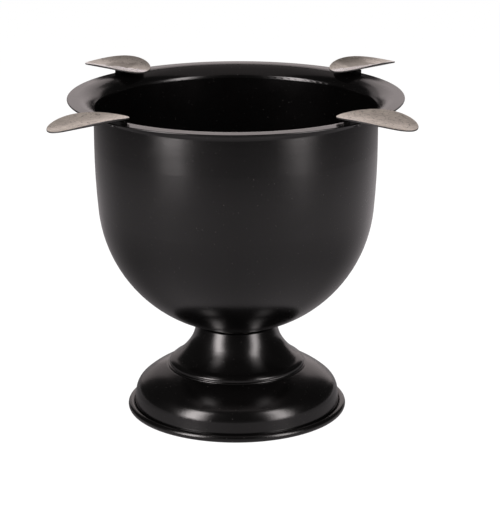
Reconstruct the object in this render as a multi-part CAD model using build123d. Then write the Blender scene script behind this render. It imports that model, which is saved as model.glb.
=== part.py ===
from build123d import *
import os
from math import asin, atan2, cos, degrees, radians, sin

# A deep-bowl pedestal ashtray, in millimetres. The origin is on the axis of the foot, on the
# surface that it stands on. +Z is up, and -Y is the front.

# Sheet metal of the three spun shells
SHEET = 1.0

# Bowl: a hemisphere that straightens slowly into an upright wall, then a turned-out lip with a flat
# rim, which starts with a tight shoulder and goes on in a gentle slope
BOWL_RADIUS = 87.1
BOWL_CENTRE_Z = 140.6
BALL_END = 84.7
WALL_BEND = 454.0
SHOULDER_BEND = 2.5
SHOULDER_END = 60.0
SLOPE_BEND = 11.0
LIP_TOP_Z = 204.6
LIP_RADIUS = 105.0
LIP_UNDER_Z = LIP_TOP_Z - SHEET

# Thread between the bowl and the pedestal: M10 x 1.5, drawn as plain cylinders
THREAD_RADIUS = 5.0
RUNNING_CLEARANCE = 0.05
BOSS_RADIUS = 16.0
BOSS_BOTTOM_Z = 49.5
STUD_BOTTOM_Z = 37.0
STUD_TOP_Z = 53.4
THREAD_CHAMFER = 0.8
SEAT_WASHER_THICK = 1.0
SEAT_Z = BOSS_BOTTOM_Z - SEAT_WASHER_THICK

# Stem: a trumpet whose top is dished to follow the bowl. At its bottom the trumpet rounds over a brow
# into an upright band, with a narrow flange turned out
SEAT_GAP = 0.6
NECK_RADIUS = 25.6
NECK_LEAN = 16.9
NECK_EDGE_BEND = 1.2
THROAT_TOP_Z = 50.2
THROAT_BENDS = ((-59.0, 21.1), (-37.4, 38.2), (-30.0, 10.0))
BROW_HEADING = -48.0
BROW_BEND = 8.0
BAND_BEND = 1.2
BAND_LEAN = 4.0
BAND_RADIUS = 43.0
FLANGE_BEND = 0.4
FLANGE_RADIUS = 44.2

# Neck bush: the tapped hub that stands on the foot inside the stem
BUSH_RADIUS = 12.0
BUSH_CUP_RADIUS = 19.0
BUSH_CUP_Z = 44.0
CUP_CLEARANCE = 0.3

# Foot: a flat land under the stem, a domed crown, a steep skirt and a rolled edge
LAND_Z = 29.1
LAND_RADIUS = 44.0
LAND_BEND = 3.0
CROWN_START = 21.2
CROWN_BEND = 51.7
HAUNCH_START = 42.2
HAUNCH_BEND = 11.9
SKIRT_LEAN = 6.9
EDGE_ROLL = 2.5
EDGE_ROLL_TURN = 297.0

# Bottom plate, pad and the tie rod that clamps the pedestal together
PLATE_SHEET = 1.2
PAD_THICK = 2.0
PAD_RADIUS = 61.0
PAD_EDGE = 0.4
RECESS_RADIUS = 16.0
RECESS_Z = 16.0
PLATE_BEND = 1.5
PLATE_RIM_HEIGHT = 5.0
TIE_ROD_TOP_Z = 36.0
TIE_ROD_BOTTOM_Z = 2.8
TIE_WASHER_RADIUS = 10.5
TIE_WASHER_THICK = 2.0
LOCK_WASHER_RADIUS = 9.0
LOCK_WASHER_THICK = 2.2
LOCK_WASHER_SPLIT = 1.6
NUT_ACROSS_FLATS = 17.0
NUT_HEIGHT = 8.0
NUT_CHAMFER = 0.9
NUT_TOP_Z = RECESS_Z - TIE_WASHER_THICK - LOCK_WASHER_THICK

# Cigar rests: oval plates bent into a shallow trough that points at the bowl
REST_HALF_LENGTH = 27.5
REST_HALF_WIDTH = 15.0
REST_DEPTH = 3.7
REST_SHEET = 0.9
REST_EDGE = 0.2
REST_Z = 206.8
REST_PITCH = -1.2
REST_TROUGH = (REST_HALF_WIDTH**2 + REST_DEPTH**2) / (2 * REST_DEPTH)

# Each rest is set on the lip by hand: bearing of its middle, its twist off the radial line, the
# distance of its middle from the axis, and its roll about its trough
REST_PLACES = {
    "front_left": (-136.0, -6.5, 120.3, 1.1),
    "front_right": (-44.7, 6.3, 116.5, 2.7),
    "back_left": (134.3, 0.0, 110.8, -3.7),
    "back_right": (43.3, 1.9, 114.0, 0.2),
}

# Rivet, spacer and washer of each rest
RIVET_CIRCLE = 101.9
RIVET_RADIUS = 1.5
RIVET_HEAD_RADIUS = 2.5
RIVET_HEAD_HEIGHT = 0.9
SPACER_INNER = 99.2
SPACER_OUTER = 104.6
SPACER_LENGTH = 16.0
RIVET_WASHER_RADIUS = 2.9
RIVET_WASHER_THICK = 0.5


class Section:
    """Sheet metal cut through the axis, as (radius, height): straight runs and bends, each tangent
    to the last. The drawn face is given, and the other lies one thickness to its right, or to its
    left where the thickness is negative."""

    def __init__(self, start, heading, thickness=SHEET):
        self.point = start
        self.heading = heading
        self.thickness = thickness
        self.edges = [Line(start, self.beside(-thickness))]

    def beside(self, distance):
        """The point at a distance to the left of where the drawn face has got to."""
        r, z = self.point
        a = radians(self.heading)
        return (r - distance * sin(a), z + distance * cos(a))

    def run(self, length):
        """Goes straight on."""
        a = radians(self.heading)
        here, across = self.point, self.beside(-self.thickness)
        self.point = (here[0] + length * cos(a), here[1] + length * sin(a))
        self.edges += [Line(here, self.point), Line(across, self.beside(-self.thickness))]
        return self

    def run_to_height(self, z):
        """Goes straight on up or down to a height."""
        return self.run((z - self.point[1]) / sin(radians(self.heading)))

    def run_to_radius(self, r):
        """Goes straight on to a radius."""
        return self.run((r - self.point[0]) / cos(radians(self.heading)))

    def bend_to(self, heading, radius):
        """Bends to a new heading, with the given radius on the drawn face."""
        turn = heading - self.heading
        left = 1 if turn > 0 else -1
        centre = self.beside(left * radius)
        first = self.heading - left * 90
        far_radius = radius + left * self.thickness
        self.edges += [CenterArc(centre, radius, first, turn), CenterArc(centre, far_radius, first, turn)]
        a = radians(first + turn)
        self.point = (centre[0] + radius * cos(a), centre[1] + radius * sin(a))
        self.heading = heading
        return self

    def round_off(self):
        """Ends the sheet in a half-round edge."""
        centre = self.beside(-self.thickness / 2)
        start = self.heading + 90
        self.edges.append(CenterArc(centre, abs(self.thickness) / 2, start, -180))
        return self

    def cut_off(self):
        """Ends the sheet in a square edge."""
        self.edges.append(Line(self.point, self.beside(-self.thickness)))
        return self

    def spin(self):
        """The solid that the section makes round the axis."""
        return spun(Curve() + self.edges)


def spun(outline):
    """The solid that a closed outline of (radius, height) makes round the axis."""
    return revolve(make_face(Plane.XZ * outline), axis=Axis.Z, revolution_arc=360)


def ring(inner, outer, low, high):
    """A plain ring, or a disc where the inner radius is nothing."""
    height = high - low
    middle = Pos(0, 0, (low + high) / 2)
    body = middle * Cylinder(outer, height)
    return body - middle * Cylinder(inner, height + 1) if inner else body


def bowl_ball(gap):
    """The ball that the round part of the bowl's outside lies on, grown by a gap."""
    return Pos(0, 0, BOWL_CENTRE_Z) * Sphere(BOWL_RADIUS + gap)


# Cigar rests and their fixings


def rest_plane(place):
    """The frame of a rest: its trough runs along X, and its floor's middle is the origin."""
    bearing, twist, reach, roll = REST_PLACES[place]
    along, pitch = radians(bearing + twist), radians(REST_PITCH)
    origin = (reach * cos(radians(bearing)), reach * sin(radians(bearing)), REST_Z)
    x_dir = (cos(along) * cos(pitch), sin(along) * cos(pitch), sin(pitch))
    z_dir = (-cos(along) * sin(pitch), -sin(along) * sin(pitch), cos(pitch))
    level = Plane(origin=origin, x_dir=x_dir, z_dir=z_dir)
    return Plane(level.location * Rotation(roll, 0, 0))


def trough_cylinder(radius):
    """A long cylinder on the axis of a rest's trough, in the rest's own frame."""
    return Pos(0, 0, REST_TROUGH) * Rot(0, -90, 0) * Cylinder(radius, 3 * REST_HALF_LENGTH)


def rest(place):
    """An oval plate bent into a trough."""
    bent = trough_cylinder(REST_TROUGH + REST_SHEET) - trough_cylinder(REST_TROUGH)
    oval = extrude(Ellipse(REST_HALF_LENGTH, REST_HALF_WIDTH), amount=REST_HALF_WIDTH, both=True)
    plate = bent & oval
    rims = plate.edges().filter_by(GeomType.LINE, reverse=True)
    return rest_plane(place) * fillet(rims, REST_EDGE)


def rivet_spot(place):
    """Where the rest's own line crosses the circle of the rivets."""
    bearing, twist, reach, _ = REST_PLACES[place]
    a, along = radians(bearing), radians(bearing + twist)
    offset = reach * sin(radians(twist))
    inward = reach * cos(radians(twist)) - (RIVET_CIRCLE**2 - offset**2) ** 0.5
    return (reach * cos(a) - inward * cos(along), reach * sin(a) - inward * sin(along))


def under_rest(place, shape):
    """Trims a shape to what lies under the rest's plate."""
    return shape - rest_plane(place) * trough_cylinder(REST_TROUGH + REST_SHEET)


def at_each_rest(make):
    """One solid at each rest's rivet, as a group."""
    return Compound(children=[make(place).solid() for place in REST_PLACES])


def rivet(place):
    """A shank welded to the rest, with its low head formed under the lip's washer."""
    seat_z = LIP_UNDER_Z - RIVET_WASHER_THICK
    head = Pos(0, 0, seat_z) * extrude(Circle(RIVET_HEAD_RADIUS), amount=-RIVET_HEAD_HEIGHT)
    head = fillet(head.faces().sort_by(Axis.Z)[0].edges(), RIVET_HEAD_HEIGHT / 2)
    shank = ring(0, RIVET_RADIUS, seat_z - RIVET_HEAD_HEIGHT / 2, REST_Z + REST_DEPTH)
    return under_rest(place, Pos(*rivet_spot(place)) * (shank + head))


def spacer(place):
    """A curved saddle between the lip's rim and the rest."""
    x, y = rivet_spot(place)
    rim = ring(SPACER_INNER, SPACER_OUTER, LIP_TOP_Z, REST_Z + REST_DEPTH)
    across = Rot(0, 0, degrees(atan2(y, x))) * Box(SPACER_LENGTH, SPACER_LENGTH, 2 * REST_Z)
    hole = ring(0, RIVET_RADIUS, LIP_UNDER_Z, REST_Z + REST_DEPTH)
    return under_rest(place, (rim & Pos(x, y) * across) - Pos(x, y) * hole)


def rivet_washer(place):
    """A washer under the lip."""
    flat = ring(RIVET_RADIUS, RIVET_WASHER_RADIUS, LIP_UNDER_Z - RIVET_WASHER_THICK, LIP_UNDER_Z)
    return Pos(*rivet_spot(place)) * flat


# Bowl


def bowl():
    """The spun bowl, drawn on its outside from the bottom's middle to the lip's edge."""
    shoulder_rise = SHOULDER_BEND * cos(radians(SHOULDER_END))
    slope_rise = SLOPE_BEND * (1 - cos(radians(SHOULDER_END)))
    section = Section((0, BOWL_CENTRE_Z - BOWL_RADIUS), 0, -SHEET)
    section.bend_to(BALL_END, BOWL_RADIUS)
    section.bend_to(90, WALL_BEND)
    section.run_to_height(LIP_UNDER_Z - slope_rise - shoulder_rise)
    section.bend_to(SHOULDER_END, SHOULDER_BEND)
    section.bend_to(0, SLOPE_BEND)
    section.run_to_radius(LIP_RADIUS - SHEET / 2)
    shell = section.round_off().spin()
    for place in REST_PLACES:
        hole = ring(0, RIVET_RADIUS, LIP_UNDER_Z - SHEET, LIP_TOP_Z + SHEET)
        shell -= Pos(*rivet_spot(place)) * hole
    return shell


def bowl_boss():
    """The disc welded under the bowl, which centres it in the stem's top and holds the stud."""
    return ring(THREAD_RADIUS, BOSS_RADIUS, BOSS_BOTTOM_Z, BOWL_CENTRE_Z) - bowl_ball(0)


def bowl_stud():
    """The threaded stud under the bowl."""
    stud = ring(0, THREAD_RADIUS, STUD_BOTTOM_Z, STUD_TOP_Z)
    return chamfer(stud.faces().sort_by(Axis.Z)[0].edges(), THREAD_CHAMFER)


def seat_washer():
    """The fibre washer that the bowl's boss turns on."""
    inner = THREAD_RADIUS + CUP_CLEARANCE
    outer = BOSS_RADIUS - CUP_CLEARANCE
    return ring(inner, outer, SEAT_Z, BOSS_BOTTOM_Z)


# Pedestal


def stem():
    """The trumpet stem, drawn on its outside from the hole in its dished top to its flange."""
    dish = BOWL_RADIUS + SEAT_GAP
    hole = BOSS_RADIUS + RUNNING_CLEARANCE
    start = (hole, BOWL_CENTRE_Z - (dish**2 - hole**2) ** 0.5)
    first = degrees(asin(hole / dish))
    # The dish stops where the edge's bend brings the outside to the neck's radius
    bend_r = NECK_RADIUS - NECK_EDGE_BEND * cos(radians(NECK_LEAN))
    last = degrees(asin(bend_r / (dish + NECK_EDGE_BEND)))
    section = Section(start, first)
    section.bend_to(last, dish)
    section.bend_to(NECK_LEAN - 90, NECK_EDGE_BEND)
    section.run_to_height(THROAT_TOP_Z)
    for heading, radius in THROAT_BENDS:
        section.bend_to(heading, radius)
    brow_reach = BROW_BEND * (sin(radians(section.heading)) - sin(radians(BROW_HEADING)))
    band_reach = BAND_BEND * (sin(radians(BROW_HEADING)) + cos(radians(BAND_LEAN)))
    section.run_to_radius(BAND_RADIUS - band_reach - brow_reach)
    section.bend_to(BROW_HEADING, BROW_BEND)
    section.bend_to(BAND_LEAN - 90, BAND_BEND)
    section.run_to_height(LAND_Z + SHEET + FLANGE_BEND * (1 - sin(radians(BAND_LEAN))))
    section.bend_to(0, FLANGE_BEND)
    section.run_to_radius(FLANGE_RADIUS - SHEET / 2)
    return section.round_off().spin()


def neck_bush():
    """The tapped hub inside the stem: a cup for the bowl's boss above, and a post below."""
    body = ring(THREAD_RADIUS + RUNNING_CLEARANCE, BUSH_CUP_RADIUS, BUSH_CUP_Z, BOWL_CENTRE_Z)
    body += ring(THREAD_RADIUS + RUNNING_CLEARANCE, BUSH_RADIUS, LAND_Z, BUSH_CUP_Z)
    body -= ring(0, BOSS_RADIUS + CUP_CLEARANCE, SEAT_Z, BOWL_CENTRE_Z)
    return body - bowl_ball(SEAT_GAP + SHEET)


def foot_section():
    """The foot's sheet from the hole in its land down to where the edge starts to roll."""
    section = Section((THREAD_RADIUS, LAND_Z), 0)
    section.run_to_radius(LAND_RADIUS)
    section.bend_to(-CROWN_START, LAND_BEND)
    section.bend_to(-HAUNCH_START, CROWN_BEND)
    section.bend_to(SKIRT_LEAN - 90, HAUNCH_BEND)
    roll_inside = EDGE_ROLL - SHEET
    section.run_to_height(EDGE_ROLL - roll_inside * sin(radians(SKIRT_LEAN)))
    return section


def foot():
    """The domed foot with its edge rolled outwards and up."""
    section = foot_section()
    section.bend_to(SKIRT_LEAN - 90 + EDGE_ROLL_TURN, EDGE_ROLL - SHEET)
    return section.cut_off().spin()


def base_plate():
    """The pressed plate that closes the foot: a raised middle, a flat, and a rim up the skirt."""
    lean = radians(SKIRT_LEAN)
    skirt_r, skirt_z = foot_section().point
    outer_bend = PLATE_BEND + PLATE_SHEET
    # Where a bend that touches the skirt's inside and the pad has its centre
    reach = skirt_r * cos(lean) + skirt_z * sin(lean) - SHEET - outer_bend
    bend_r = (reach - (PAD_THICK + outer_bend) * sin(lean)) / cos(lean)
    section = Section((THREAD_RADIUS, RECESS_Z + PLATE_SHEET), 0, PLATE_SHEET)
    section.run_to_radius(RECESS_RADIUS)
    section.bend_to(-90, outer_bend)
    section.run_to_height(PAD_THICK + PLATE_SHEET + PLATE_BEND)
    section.bend_to(0, PLATE_BEND)
    section.run_to_radius(bend_r)
    section.bend_to(90 + SKIRT_LEAN, PLATE_BEND)
    section.run(PLATE_RIM_HEIGHT)
    return section.cut_off().spin()


def base_pad():
    """The non-slip pad under the plate."""
    pad = ring(0, PAD_RADIUS, 0, PAD_THICK)
    return chamfer(pad.faces().sort_by(Axis.Z)[0].edges(), PAD_EDGE)


def tie_rod():
    """The rod from the neck bush down through the foot and the plate."""
    rod = ring(0, THREAD_RADIUS, TIE_ROD_BOTTOM_Z, TIE_ROD_TOP_Z)
    return chamfer(rod.edges().filter_by(GeomType.CIRCLE), THREAD_CHAMFER)


def tie_washer():
    """The flat washer under the plate."""
    return ring(THREAD_RADIUS + CUP_CLEARANCE, TIE_WASHER_RADIUS, RECESS_Z - TIE_WASHER_THICK, RECESS_Z)


def lock_washer():
    """The split spring washer on the nut."""
    whole = ring(THREAD_RADIUS + CUP_CLEARANCE, LOCK_WASHER_RADIUS, NUT_TOP_Z, NUT_TOP_Z + LOCK_WASHER_THICK)
    split = Pos(LOCK_WASHER_RADIUS, 0, NUT_TOP_Z) * Box(2 * THREAD_RADIUS, LOCK_WASHER_SPLIT, NUT_HEIGHT)
    return whole - split


def tie_nut():
    """The hexagon nut on the rod's lower end."""
    hexagon = RegularPolygon(NUT_ACROSS_FLATS / 2, 6, major_radius=False)
    blank = Pos(0, 0, NUT_TOP_Z) * extrude(hexagon, amount=-NUT_HEIGHT)
    corner = NUT_ACROSS_FLATS / 2 / cos(radians(30))
    turned = chamfer(ring(0, corner, NUT_TOP_Z - NUT_HEIGHT, NUT_TOP_Z).edges(), NUT_CHAMFER)
    return (blank & turned) - ring(0, THREAD_RADIUS, 0, RECESS_Z)


os.makedirs("parts", exist_ok=True)
nodes = {
    "bowl": bowl(),
    "rest_rivets": at_each_rest(rivet),
    "rest_spacers": at_each_rest(spacer),
    "rest_washers": at_each_rest(rivet_washer),
    "bowl_boss": bowl_boss(),
    "bowl_stud": bowl_stud(),
    "seat_washer": seat_washer(),
    "stem": stem(),
    "neck_bush": neck_bush(),
    "foot": foot(),
    "base_plate": base_plate(),
    "base_pad": base_pad(),
    "tie_rod": tie_rod(),
    "tie_washer": tie_washer(),
    "lock_washer": lock_washer(),
    "tie_nut": tie_nut(),
}
for place in REST_PLACES:
    nodes["rest_" + place] = rest(place)
for name, shape in nodes.items():
    shape.label = name
    export_step(shape, "parts/" + name + ".step")
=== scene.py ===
from math import atan2, cos, pi, radians, sin, tan

import bpy
import numpy as np
from mathutils import Matrix, Vector

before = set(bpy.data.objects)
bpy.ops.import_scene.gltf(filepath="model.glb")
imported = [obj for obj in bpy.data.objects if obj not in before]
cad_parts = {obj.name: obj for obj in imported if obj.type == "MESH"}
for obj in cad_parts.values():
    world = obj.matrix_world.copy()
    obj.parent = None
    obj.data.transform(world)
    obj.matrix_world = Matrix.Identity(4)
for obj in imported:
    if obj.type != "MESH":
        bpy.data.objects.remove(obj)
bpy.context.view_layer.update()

# Camera: a long lens in front of the ashtray, looking down on it, with the ashtray a little left of
# the lens's axis
CAMERA_DISTANCE = 1.3667
CAMERA_HEIGHT = 0.5109
CAMERA_PITCH = 16.67
CAMERA_ROLL = -0.0037
CAMERA_LENS = 159.15
CAMERA_SHIFT = 0.0268

# Studio: bearings are seen from the ashtray, 0 towards the camera and + to its right, in degrees
LAMP_DISTANCE = 0.95
BACKDROP_DISTANCE = 1.8
BACKDROP_LOW = 0.5
CEILING_HEIGHT = 1.5
ROOM_RADIUS = 9.0
LAMP_TINT = (1.0, 0.935, 0.93)
BACKDROP_TINT = (1.0, 0.89, 0.885)
TABLE_TINT = (1.0, 0.93, 0.95)

# How bright the mirrored table is, round from the back by the left to the back, as (turn, grey)
TABLE_LEVELS = ((0.0, 0.5), (0.12, 0.44), (0.22, 0.38), (0.345, 0.6), (0.5, 0.49),
                (0.65, 0.6), (0.78, 0.58), (0.88, 0.7), (1.0, 0.5))

# The object's own shade on that table ends between two radii, and further out the table fades
SHADE_RADII = (0.2, 0.42)
SHADE_BEHIND = 0.5
SHADE_BEFORE = 0.9
FADE_RADII = (0.48, 1.15)
FADED = 0.04

# The gloss coat and the dust specks on it
COAT = (0.0016, 0.0015, 0.0015)
COAT_SPECK = (0.03, 0.028, 0.027)

# The rests' steel, between the darker and the lighter side of its grain, and a painted light level for
# each rest, lighter for the front ones and darker for the back ones
REST_DARK = (0.52, 0.492, 0.44)
REST_LIGHT = (0.84, 0.795, 0.71)
REST_PAINTED_LIGHT = {"front_left": 1.08, "front_right": 1.08, "back_left": 0.9, "back_right": 0.92}
REST_HALF_WIDTH = 0.015
SCRATCH = (0.16, 0.15, 0.13)
# Colour of the darker patch behind the painted reflection strip
DARK_PATCH = (0.24, 0.22, 0.18)
# Colours of the painted reflection strip along each rest's front side
STRIP_DARK = (0.6, 0.6, 0.6)
STRIP_LIGHT = (0.97, 0.98, 0.99)
# Painted shade on the rests' underside and sheared edge, between a darker and a lighter tone
UNDERSIDE_SHADE_DARK = (0.012, 0.011, 0.011)
UNDERSIDE_SHADE_LIGHT = (0.03, 0.028, 0.027)

# Across each rest, 1 is its edge towards the front and -1 the far one. A bright strip of painted
# reflection starts at STRIP_START, the darker patch behind it has the listed width, and the slant moves
# both for each metre outwards
STRIP_START = {"front_left": 0.8, "front_right": 0.8, "back_left": 0.05, "back_right": 0.0}
DARK_PATCH_WIDTH = {"front_left": 0.2, "front_right": 0.2, "back_left": 0.6, "back_right": 1.0}
DARK_PATCH_DEPTH = {"front_left": 0.1, "front_right": 0.1, "back_left": 0.8, "back_right": 0.7}
STRIP_SLANT = -10.0


# Camera


def add_camera():
    data = bpy.data.cameras.new("camera")
    data.lens = CAMERA_LENS
    data.sensor_width = 36.0
    data.shift_x = CAMERA_SHIFT
    data.clip_start = 0.05
    data.clip_end = 40.0
    camera = bpy.data.objects.new("camera", data)
    bpy.context.scene.collection.objects.link(camera)
    turn = Matrix.Rotation(radians(90 - CAMERA_PITCH), 4, "X") @ Matrix.Rotation(CAMERA_ROLL, 4, "Z")
    camera.matrix_world = Matrix.Translation((0, -CAMERA_DISTANCE, CAMERA_HEIGHT)) @ turn
    bpy.context.scene.camera = camera


# Node helpers


class Nodes:
    """A short way to build a material's node tree."""

    def __init__(self, name):
        self.material = bpy.data.materials.new(name)
        self.material.use_nodes = True
        self.tree = self.material.node_tree
        self.tree.nodes.clear()

    def add(self, kind, **settings):
        node = self.tree.nodes.new("ShaderNode" + kind)
        for key, value in settings.items():
            if key.startswith("in_"):
                node.inputs[key[3:].replace("_", " ")].default_value = value
            else:
                setattr(node, key, value)
        return node

    def link(self, source, target):
        self.tree.links.new(source, target)

    def math(self, operation, a, b=0.0):
        node = self.add("Math", operation=operation)
        for socket, value in zip(node.inputs, (a, b)):
            if isinstance(value, (int, float)):
                socket.default_value = value
            else:
                self.link(value, socket)
        return node.outputs[0]

    def spread(self, value, low, high, out_low=0.0, out_high=1.0, smooth=False):
        """A value's range mapped to another, held at both ends."""
        node = self.add("MapRange", clamp=True)
        if smooth:
            node.interpolation_type = "SMOOTHSTEP"
        self.link(value, node.inputs["Value"])
        limits = {"From Min": low, "From Max": high, "To Min": out_low, "To Max": out_high}
        for name, number in limits.items():
            node.inputs[name].default_value = number
        return node.outputs["Result"]

    def split(self, vector):
        node = self.add("SeparateXYZ")
        self.link(vector, node.inputs["Vector"])
        return node.outputs

    def length(self, *parts):
        """The length of a vector, from its parts."""
        total = self.math("MULTIPLY", parts[0], parts[0])
        for part in parts[1:]:
            total = self.math("ADD", total, self.math("MULTIPLY", part, part))
        return self.math("SQRT", total)

    def mix(self, factor, a, b):
        """A colour or number between a and b."""
        is_colour = isinstance(a, tuple) or getattr(a, "type", "VALUE") == "RGBA"
        node = self.add("Mix", data_type="RGBA" if is_colour else "FLOAT")
        used = {socket.name: socket for socket in node.inputs if socket.enabled}
        self.link(factor, used["Factor"])
        for socket, value in ((used["A"], a), (used["B"], b)):
            if isinstance(value, bpy.types.NodeSocket):
                self.link(value, socket)
            else:
                socket.default_value = (*value, 1) if isinstance(value, tuple) else value
        return next(socket for socket in node.outputs if socket.enabled)

    def noise(self, where, scale, detail=2.0, rough=0.5, distortion=0.0):
        node = self.add("TexNoise", in_Scale=scale, in_Detail=detail, in_Roughness=rough)
        node.inputs["Distortion"].default_value = distortion
        self.link(where, node.inputs["Vector"])
        return node.outputs["Fac"]

    def place(self, turn=(0, 0, 0), shift=(0, 0, 0)):
        """The object's own coordinates in metres, turned and then shifted."""
        coordinates = self.add("TexCoord")
        moved = self.add("Mapping", vector_type="POINT")
        moved.inputs["Location"].default_value = shift
        moved.inputs["Rotation"].default_value = turn
        self.link(coordinates.outputs["Object"], moved.inputs["Vector"])
        return moved.outputs["Vector"]

    def rings(self, here):
        """Coordinates that stay the same all round the axis, so that a noise on them turns into rings."""
        x, y, z = self.split(here)
        node = self.add("CombineXYZ")
        self.link(self.length(x, y), node.inputs["X"])
        self.link(z, node.inputs["Y"])
        return node.outputs["Vector"]

    def stretch(self, vector, scale, turn=(0, 0, 0)):
        """Coordinates drawn out or pressed together, then turned."""
        node = self.add("Mapping", vector_type="POINT")
        node.inputs["Rotation"].default_value = turn
        node.inputs["Scale"].default_value = scale
        self.link(vector, node.inputs["Vector"])
        return node.outputs["Vector"]

    def colours(self, value, stops):
        """A colour ramp of (position, (r, g, b)) stops."""
        node = self.add("ValToRGB")
        ramp = node.color_ramp
        while len(ramp.elements) < len(stops):
            ramp.elements.new(0.5)
        for element, (position, colour) in zip(ramp.elements, stops):
            element.position = position
            element.color = (*colour, 1)
        self.link(value, node.inputs["Fac"])
        return node.outputs["Color"]

    def bump(self, height, distance, strength=1.0, under=None):
        node = self.add("Bump", in_Strength=strength, in_Distance=distance)
        self.link(height, node.inputs["Height"])
        if under is not None:
            self.link(under, node.inputs["Normal"])
        return node.outputs["Normal"]

    def finish(self, **sockets):
        """Ends the tree in a Principled shader. A number or colour is set, and an output is linked."""
        shader = self.add("BsdfPrincipled")
        for name, value in sockets.items():
            socket = shader.inputs[name.replace("_", " ")]
            if isinstance(value, bpy.types.NodeSocket):
                self.link(value, socket)
            else:
                socket.default_value = value
        output = self.add("OutputMaterial")
        self.link(shader.outputs["BSDF"], output.inputs["Surface"])
        return self.material


# Materials


def black_coat():
    """Gloss black stoved enamel: orange peel, turning lines under it, faint smudges and dust."""
    n = Nodes("black_coat")
    here = n.place()
    turning = n.noise(n.rings(here), 260.0, 1.0)
    smudge = n.noise(here, 38.0, 5.0, 0.6, 0.6)
    peel = n.noise(here, 560.0, 1.5, 0.45)
    speck = n.spread(n.noise(here, 1300.0, 0.0), 0.835, 0.86)
    colour = n.colours(speck, [(0.0, COAT), (1.0, COAT_SPECK)])
    rough = n.math("ADD", n.spread(smudge, 0.3, 0.7, 0.18, 0.235), n.math("MULTIPLY", speck, 0.2))
    normal = n.bump(turning, 0.00002, 0.3)
    normal = n.bump(peel, 0.00003, 0.4, normal)
    return n.finish(Base_Color=colour, Roughness=rough, Normal=normal, IOR=1.5)


def rest_axis(node):
    """The middle of a rest, and the direction of its trough seen from above, outwards."""
    co = np.array([v.co for v in node.data.vertices])
    middle = (co.min(0) + co.max(0)) / 2
    flat = co[:, :2] - co[:, :2].mean(0)
    axis = np.linalg.eigh(flat.T @ flat)[1][:, -1]
    return middle, axis * np.sign(axis @ middle[:2])


def rest_scratches(n, along, marks):
    """Wandering scratches, 1 in a scratch and 0 beside it."""
    loops = n.noise(n.stretch(along, (0.6, 1.0, 1.0), turn=(0, 0, 0.5)), 170.0, 1.5, 0.6, 2.0)
    line = n.spread(n.math("ABSOLUTE", n.math("SUBTRACT", loops, 0.5)), 0.006, 0.034, 1.0, 0.0)
    return n.math("MULTIPLY", line, n.spread(marks, 0.4, 0.6))


def rest_painted_strip(n, along, place, facing):
    """A painted reflection: a bright strip along a rest's front side, with a darker patch behind it, both
    with a ragged edge.
    """
    outward, across, _ = n.split(along)
    ragged = n.noise(n.stretch(along, (0.6, 1.0, 1.0)), 330.0, 4.0, 0.7)
    near = n.math("MULTIPLY", across, facing / REST_HALF_WIDTH)
    near = n.math("ADD", near, n.math("MULTIPLY", n.math("SUBTRACT", ragged, 0.5), 0.8))
    near = n.math("ADD", near, n.math("MULTIPLY", outward, STRIP_SLANT))
    strip = n.spread(near, STRIP_START[place], STRIP_START[place] + 0.08)
    dark_patch_start = STRIP_START[place] - DARK_PATCH_WIDTH[place]
    dark_patch = n.spread(near, dark_patch_start, dark_patch_start + 0.12)
    from_middle = n.math("ADD", n.math("ABSOLUTE", outward), n.math("MULTIPLY", ragged, 0.012))
    dark_patch = n.math("MULTIPLY", dark_patch, n.spread(from_middle, 0.014, 0.018, 1.0, 0.0))
    return strip, n.math("MULTIPLY", dark_patch, DARK_PATCH_DEPTH[place])


def rest_steel(place, node):
    """Brushed stainless steel, with its grain along the trough, scratches, handling marks, a painted
    reflection strip with a darker patch behind it, and painted shade on its sheared edge and underside."""
    middle, axis = rest_axis(node)
    bearing = atan2(axis[1], axis[0])
    n = Nodes("rest_steel_" + place)
    c, s = cos(-bearing), sin(-bearing)
    shift = (-(c * middle[0] - s * middle[1]), -(s * middle[0] + c * middle[1]), -middle[2])
    along = n.place(turn=(0, 0, -bearing), shift=shift)
    grain = n.noise(n.stretch(along, (0.03, 1.0, 1.0)), 2800.0, 2.0, 0.6)
    cloud = n.noise(along, 90.0, 4.0, 0.6, 1.2)
    marks = n.noise(along, 300.0, 3.0, 0.65, 2.5)
    scratch = rest_scratches(n, along, marks)
    strip, dark_patch = rest_painted_strip(n, along, place, -np.sign(axis[0]))
    tone = n.math("ADD", n.math("MULTIPLY", cloud, 0.55), n.math("MULTIPLY", grain, 0.45))
    # Painted light: each rest's steel is made lighter or darker by its own level
    dark, light = (tuple(REST_PAINTED_LIGHT[place] * part for part in end) for end in (REST_DARK, REST_LIGHT))
    steel = n.colours(tone, [(0.3, dark), (0.7, light)])
    steel = n.mix(dark_patch, steel, DARK_PATCH)
    streaks = n.colours(grain, [(0.35, STRIP_DARK), (0.55, STRIP_LIGHT)])
    # Painted reflection: the bright strip along the rest's front side
    steel = n.mix(n.math("MULTIPLY", strip, 0.85), steel, streaks)
    steel = n.mix(n.math("MULTIPLY", scratch, 0.75), steel, SCRATCH)
    rough = n.math("ADD", n.spread(grain, 0.3, 0.7, 0.33, 0.42), n.math("MULTIPLY", scratch, 0.1))
    rough = n.math("SUBTRACT", rough, n.math("MULTIPLY", strip, 0.1))
    normal = n.bump(grain, 0.00004, 0.25)
    normal = n.bump(marks, 0.0001, 0.2, normal)
    normal = n.bump(scratch, 0.00002, 0.5, normal)
    # Painted shade: only what faces up keeps the bright steel, and the underside and sheared edge get a
    # dark, non-metallic colour
    up = n.split(n.add("TexCoord").outputs["Normal"])["Z"]
    bright = n.spread(up, 0.62, 0.78)
    colour = n.mix(bright, n.mix(cloud, UNDERSIDE_SHADE_DARK, UNDERSIDE_SHADE_LIGHT), steel)
    rough = n.mix(bright, n.spread(marks, 0.3, 0.7, 0.42, 0.6), rough)
    return n.finish(Base_Color=colour, Metallic=bright, Roughness=rough, Normal=normal)


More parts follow.
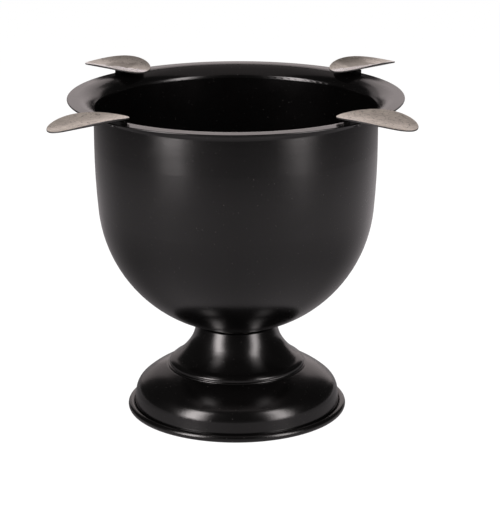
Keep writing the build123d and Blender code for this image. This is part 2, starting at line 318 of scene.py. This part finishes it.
def machined_steel():
    """Turned steel with fine tool rings."""
    n = Nodes("machined_steel")
    here = n.place()
    turned = n.noise(n.rings(here), 5200.0, 2.0, 0.6)
    oil = n.noise(here, 160.0, 3.0)
    colour = n.colours(oil, [(0.3, (0.32, 0.31, 0.30)), (0.7, (0.44, 0.43, 0.42))])
    rough = n.spread(turned, 0.3, 0.7, 0.26, 0.42)
    return n.finish(Base_Color=colour, Metallic=1.0, Roughness=rough, Normal=n.bump(turned, 0.00003, 0.4))


def plated_steel():
    """Zinc-plated steel with a dull bloom."""
    n = Nodes("plated_steel")
    here = n.place()
    bloom = n.noise(here, 240.0, 5.0, 0.65, 0.4)
    pits = n.noise(here, 2400.0, 1.0)
    colour = n.colours(bloom, [(0.3, (0.50, 0.50, 0.49)), (0.7, (0.66, 0.66, 0.63))])
    rough = n.spread(bloom, 0.3, 0.7, 0.28, 0.44)
    return n.finish(Base_Color=colour, Metallic=1.0, Roughness=rough, Normal=n.bump(pits, 0.00003, 0.3))


def fibre():
    """Red-brown vulcanised fibre."""
    n = Nodes("fibre")
    here = n.place()
    strand = n.noise(here, 1400.0, 4.0, 0.7, 1.5)
    colour = n.colours(strand, [(0.3, (0.11, 0.032, 0.02)), (0.7, (0.20, 0.062, 0.038))])
    rough = n.spread(strand, 0.3, 0.7, 0.55, 0.75)
    return n.finish(Base_Color=colour, Roughness=rough, Normal=n.bump(strand, 0.00005, 0.5))


def pad_rubber():
    """Black rubber with a fine moulded grain."""
    n = Nodes("pad_rubber")
    here = n.place()
    cells = n.add("TexVoronoi", in_Scale=900.0)
    n.link(here, cells.inputs["Vector"])
    dust = n.noise(here, 120.0, 5.0, 0.6)
    colour = n.colours(dust, [(0.3, (0.012, 0.012, 0.012)), (0.75, (0.032, 0.031, 0.03))])
    rough = n.spread(dust, 0.3, 0.7, 0.72, 0.88)
    normal = n.bump(cells.outputs["Distance"], 0.0002, 0.5)
    return n.finish(Base_Color=colour, Roughness=rough, Normal=normal)


def dress(names, material):
    """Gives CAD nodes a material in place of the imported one."""
    for name in names:
        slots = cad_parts[name].data.materials
        slots.clear()
        slots.append(material)


def dress_all():
    coat = black_coat()
    dress(("bowl", "stem", "foot", "rest_spacers", "rest_rivets", "rest_washers"), coat)
    dress(("bowl_boss", "neck_bush"), machined_steel())
    dress(("bowl_stud", "tie_rod", "tie_washer", "lock_washer", "tie_nut", "base_plate"), plated_steel())
    dress(("seat_washer",), fibre())
    dress(("base_pad",), pad_rubber())
    for place in REST_PAINTED_LIGHT:
        name = "rest_" + place
        dress((name,), rest_steel(place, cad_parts[name]))


# Studio


def see_only(thing, **rays):
    """Limits which rays see a stage piece."""
    for ray in ("camera", "diffuse", "glossy", "transmission", "shadow"):
        setattr(thing, "visible_" + ray, rays.get(ray, False))


def disc(name, radius, height, count=96):
    """A flat disc on the stage."""
    angles = [2 * pi * i / count for i in range(count)]
    mesh = bpy.data.meshes.new(name)
    rim = [(radius * cos(a), radius * sin(a), height) for a in angles]
    mesh.from_pydata(rim, [], [tuple(range(count))])
    thing = bpy.data.objects.new(name, mesh)
    bpy.context.scene.collection.objects.link(thing)
    return thing


def plain(name, grey, glow):
    """A matt stage surface that glows."""
    return Nodes(name).finish(
        Base_Color=(grey, grey, grey, 1),
        Roughness=1.0,
        Specular_IOR_Level=0.0,
        Emission_Color=(1, 1, 1, 1),
        Emission_Strength=glow,
    )


def table_glow():
    """The table as the object's gloss mirrors it: uneven all round, darker in the object's own shade,
    and fading out far away."""
    n = Nodes("table_glow")
    x, y, _ = n.split(n.place())
    radius = n.length(x, y)
    front = n.math("DIVIDE", n.math("MULTIPLY", y, -1.0), n.math("MAXIMUM", radius, 0.001))
    bearing = n.math("ARCTAN2", x, n.math("MULTIPLY", y, -1.0))
    turn = n.math("ADD", n.math("DIVIDE", bearing, 2 * pi), 0.5)
    levels = [(place, tuple(grey * part for part in TABLE_TINT)) for place, grey in TABLE_LEVELS]
    shade = n.spread(front, 0.0, 0.8, SHADE_BEHIND, SHADE_BEFORE)
    shade = n.mix(n.spread(radius, *SHADE_RADII), shade, 1.0)
    reach = n.math("MULTIPLY", shade, n.spread(radius, *FADE_RADII, 1.0, FADED, smooth=True))
    return n.finish(
        Base_Color=(0, 0, 0, 1),
        Roughness=1.0,
        Specular_IOR_Level=0.0,
        Emission_Color=n.colours(turn, levels),
        Emission_Strength=reach,
    )


def add_floor():
    """The camera sees a white floor, and the object's gloss sees the greyer table top."""
    seen = disc("floor_seen", ROOM_RADIUS, 0.0)
    seen.data.materials.append(plain("floor_white", grey=0.12, glow=0.985))
    see_only(seen, camera=True)
    table = disc("floor_table", ROOM_RADIUS, 0.0)
    table.data.materials.append(table_glow())
    see_only(table, glossy=True, diffuse=True)


def add_sky():
    """A white room round everything, which only the camera sees."""
    mesh = bpy.data.meshes.new("room")
    bands, count = 24, 48
    points, faces = [], []
    for i in range(bands + 1):
        elevation = pi * i / bands - pi / 2
        radius, height = ROOM_RADIUS * cos(elevation), ROOM_RADIUS * sin(elevation)
        for j in range(count):
            a = 2 * pi * j / count
            points.append((radius * cos(a), radius * sin(a), height))
    for i in range(bands):
        for j in range(count):
            k = (j + 1) % count
            faces.append((i * count + j, (i + 1) * count + j, (i + 1) * count + k, i * count + k))
    mesh.from_pydata(points, [], faces)
    room = bpy.data.objects.new("room", mesh)
    bpy.context.scene.collection.objects.link(room)
    room.data.materials.append(plain("room_white", grey=0.0, glow=1.0))
    see_only(room, camera=True)


def add_panel(name, bearing, span, low, high, radiance, distance=LAMP_DISTANCE, tint=LAMP_TINT):
    """An upright soft panel, which covers a span of bearings and elevations seen from the ashtray."""
    a = radians(bearing)
    width = 2 * distance * tan(radians(span / 2))
    bottom, top = distance * tan(radians(low)), distance * tan(radians(high))
    light = bpy.data.lights.new(name, "AREA")
    light.shape = "RECTANGLE"
    light.size = width
    light.size_y = top - bottom
    light.energy = radiance * pi * width * (top - bottom)
    light.color = tint
    thing = bpy.data.objects.new(name, light)
    bpy.context.scene.collection.objects.link(thing)
    thing.location = (distance * sin(a), -distance * cos(a), (bottom + top) / 2)
    aim = Vector((-sin(a), cos(a), 0))
    thing.rotation_mode = "QUATERNION"
    thing.rotation_quaternion = aim.to_track_quat("-Z", "Y")


def add_ceiling(radiance, half_width, front, back):
    """A weak soft panel overhead, from front to back along Y."""
    light = bpy.data.lights.new("ceiling", "AREA")
    light.shape = "RECTANGLE"
    light.size = 2 * half_width
    light.size_y = back - front
    light.energy = radiance * pi * light.size * light.size_y
    light.color = BACKDROP_TINT
    thing = bpy.data.objects.new("ceiling", light)
    bpy.context.scene.collection.objects.link(thing)
    thing.location = (0, (front + back) / 2, CEILING_HEIGHT)


def add_backdrop(name, bearing, span, high, radiance):
    """A panel of the pale wall behind the ashtray."""
    add_panel(name, bearing, span, BACKDROP_LOW, high, radiance, BACKDROP_DISTANCE, BACKDROP_TINT)


def add_studio():
    add_floor()
    add_sky()
    # Each lamp has a bright middle, and a wider and weaker panel just behind it softens its edges
    behind = LAMP_DISTANCE + 0.01
    add_panel("left_lamp", bearing=-49, span=16, low=1, high=42, radiance=8.6)
    add_panel("left_lamp_halo", bearing=-49, span=30, low=1, high=45, radiance=4.5, distance=behind)
    add_panel("right_lamp", bearing=49.5, span=14, low=1, high=46, radiance=5.6)
    add_panel("right_lamp_halo", bearing=49.5, span=27, low=1, high=48, radiance=3.4, distance=behind)
    add_backdrop("backdrop", bearing=180, span=30, high=38, radiance=0.86)
    add_backdrop("backdrop_right", bearing=157, span=16, high=32, radiance=0.8)
    add_backdrop("backdrop_left", bearing=-157, span=16, high=34, radiance=0.5)
    add_ceiling(radiance=0.36, half_width=0.8, front=-0.75, back=1.45)
    world = bpy.data.worlds.new("studio")
    world.use_nodes = True
    air = world.node_tree.nodes["Background"]
    air.inputs["Color"].default_value = (1.0, 0.97, 0.96, 1)
    air.inputs["Strength"].default_value = 0.035
    bpy.context.scene.world = world
    bpy.context.scene.view_settings.view_transform = "Standard"


add_camera()
dress_all()
add_studio()
